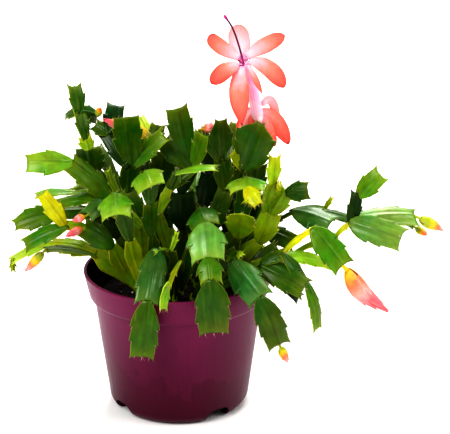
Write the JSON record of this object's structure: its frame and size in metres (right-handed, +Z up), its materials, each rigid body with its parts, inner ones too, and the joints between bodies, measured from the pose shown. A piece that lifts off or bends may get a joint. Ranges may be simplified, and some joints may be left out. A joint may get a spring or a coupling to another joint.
{
  "type": "potted christmas cactus",
  "caption": "Christmas cactus in a round nursery pot: arching and trailing chains of flat toothed joints, one open two-tiered flower and pointed buds.",
  "frame": {"origin": "centre of the pot's flat underside, on the surface it stands on", "axes": "+Z up out of the pot; -Y towards the show side; +X to the right seen from the show side"},
  "size_m": [0.2983, 0.1618, 0.2836],
  "materials": {
    "pot": "satin moulded polypropylene, burgundy",
    "soil": "damp peat and bark crumbs",
    "leaf": "waxy succulent skin",
    "petal": "thin satin petal, coral to pale pink",
    "style": "smooth, dark purple",
    "bud": "satin, yellow-green to coral"
  },
  "bodies": {
    "root": {"pot": "pot", "soil": "soil", "stem_left_low": "leaf", "stem_left_middle": "leaf", "stem_left_high": "leaf", "stem_left_far": "leaf", "stem_left_tower": "leaf", "stem_upper_left": "leaf", "stem_top_centre": "leaf", "stem_centre_top": "leaf", "stem_right_olive": "leaf", "stem_right_upper": "leaf", "stem_right_long": "leaf", "stem_right_lime": "leaf", "stem_right_front": "leaf", "stem_front_right": "leaf", "stem_front_centre": "leaf", "stem_front_left": "leaf", "stem_front_thin": "leaf", "stem_forward_left": "leaf", "stem_forward_low": "leaf", "stem_forward_right": "leaf", "stem_forward_centre": "leaf", "stem_behind_left": "leaf", "stem_behind_middle": "leaf", "stem_behind_centre": "leaf", "stem_behind_right": "leaf", "stem_back_1": "leaf", "stem_back_2": "leaf", "stem_back_3": "leaf", "stem_back_4": "leaf", "stem_back_5": "leaf", "stem_back_6": "leaf", "flower": "petal", "flower_style": "style", "bud_left_low": "bud", "bud_left_upper": "bud", "bud_left_lower": "bud", "bud_tower": "bud", "bud_behind": "bud", "bud_top": "bud", "bud_right_long": "bud", "bud_right_small": "bud", "bud_large": "bud", "bud_hanging": "bud"}
  },
  "joints": []
}
